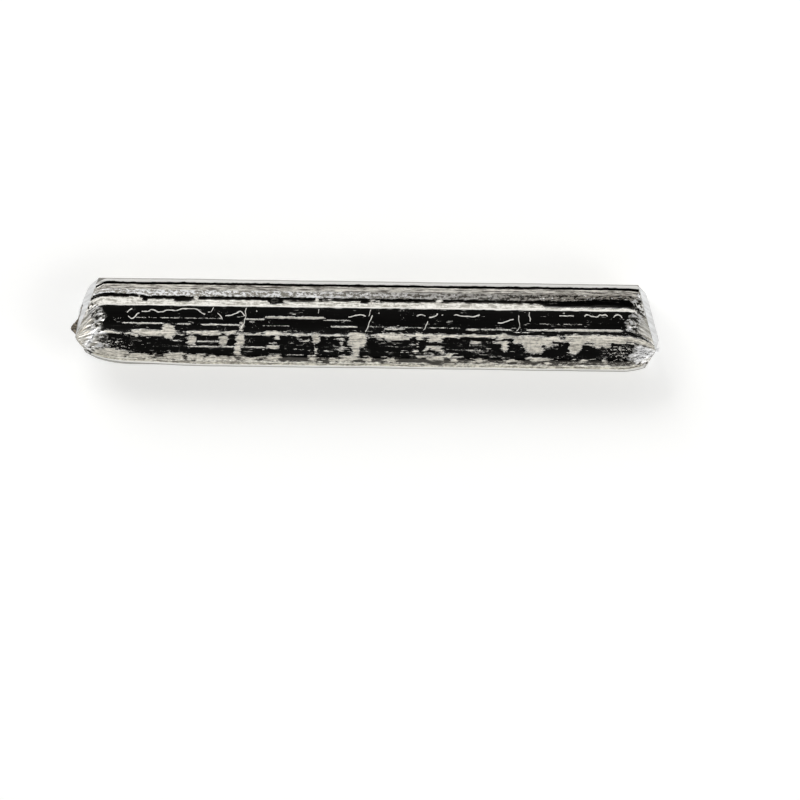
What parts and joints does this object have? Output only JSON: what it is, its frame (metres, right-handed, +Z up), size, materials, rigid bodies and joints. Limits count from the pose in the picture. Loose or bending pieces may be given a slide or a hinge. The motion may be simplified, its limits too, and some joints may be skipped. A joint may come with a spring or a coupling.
{
  "type": "tin ingot",
  "caption": "Slim cast stick of solid tin with a broad ridged poured face, drafted mould sides and nipped wedge-shaped ends.",
  "frame": {"origin": "middle of the underside, on the surface the ingot lies on", "axes": "+X along the stick, +Y towards its rear long side, +Z up out of the poured face"},
  "size_m": [0.0972, 0.0142, 0.0083],
  "materials": {
    "cast_tin": "satin"
  },
  "bodies": {
    "root": {"ingot": "cast_tin"}
  },
  "joints": []
}
